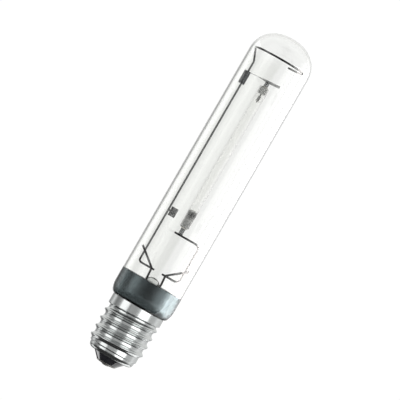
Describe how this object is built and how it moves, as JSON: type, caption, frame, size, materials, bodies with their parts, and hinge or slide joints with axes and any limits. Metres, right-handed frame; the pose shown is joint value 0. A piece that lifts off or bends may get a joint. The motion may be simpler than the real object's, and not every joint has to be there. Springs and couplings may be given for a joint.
{
  "type": "grow lamp",
  "caption": "Clear tubular high-pressure sodium lamp with a large Edison screw cap, a wire frame and a ceramic arc tube.",
  "frame": {"origin": "tip of the centre contact, on the lamp's axis", "axes": "+Z along the lamp from the cap to the dome; the frame rod stands on the -X side"},
  "size_m": [0.046, 0.046, 0.257],
  "materials": {
    "nickel_shell": "nickel-plated brass sheet, satin bright",
    "black_glass": "opaque black glass, fire polished",
    "contact_metal": "plated brass, dulled",
    "solder": "tin solder, smooth",
    "cement": "matt cap cement",
    "copper_wire": "bare copper",
    "envelope_glass": "clear hard glass",
    "barium_film": "flashed barium, dark and shiny",
    "stem_glass": "clear hard glass, fire polished",
    "frame_wire": "drawn iron-nickel wire, oxide grey",
    "getter_alloy": "sintered alloy powder, matt and grainy",
    "sheet_nickel": "thin rolled strip",
    "translucent_alumina": "translucent polycrystalline alumina",
    "amalgam": "dull liquid-metal pellet",
    "sintered_alumina": "dense white ceramic",
    "sealing_frit": "glassy seal",
    "niobium": "drawn niobium tube",
    "tungsten": "drawn tungsten, emitter coated"
  },
  "bodies": {
    "lamp": {"screw_shell": "nickel_shell", "glass_insulator": "black_glass", "centre_contact": "contact_metal", "contact_solder": "solder", "shell_solder": "solder", "cap_cement": "cement", "contact_wire": "copper_wire", "shell_wire": "copper_wire", "outer_bulb": "envelope_glass", "getter_mirror": "barium_film", "glass_stem": "stem_glass", "exhaust_tube": "stem_glass", "frame_lead": "frame_wire", "return_lead": "frame_wire", "frame_rod": "frame_wire", "lower_bracket": "frame_wire", "getter_flag": "getter_alloy", "strap_clip": "sheet_nickel", "upper_strap": "sheet_nickel", "arc_tube": "translucent_alumina", "sodium_amalgam": "amalgam", "lower_plug": "sintered_alumina", "lower_frit": "sealing_frit", "lower_feed_tube": "niobium", "lower_electrode": "tungsten", "lower_coil": "tungsten"},
    "free_end": {"upper_plug": "sintered_alumina", "upper_frit": "sealing_frit", "upper_feed_tube": "niobium", "upper_electrode": "tungsten", "upper_coil": "tungsten"}
  },
  "joints": [
    {"name": "arc_tube_growth", "type": "slide", "parent": "lamp", "child": "free_end", "axis": [0, 0, 1], "range_m": [0, 0.0006], "deforming": ["arc_tube", "upper_strap"]}
  ]
}
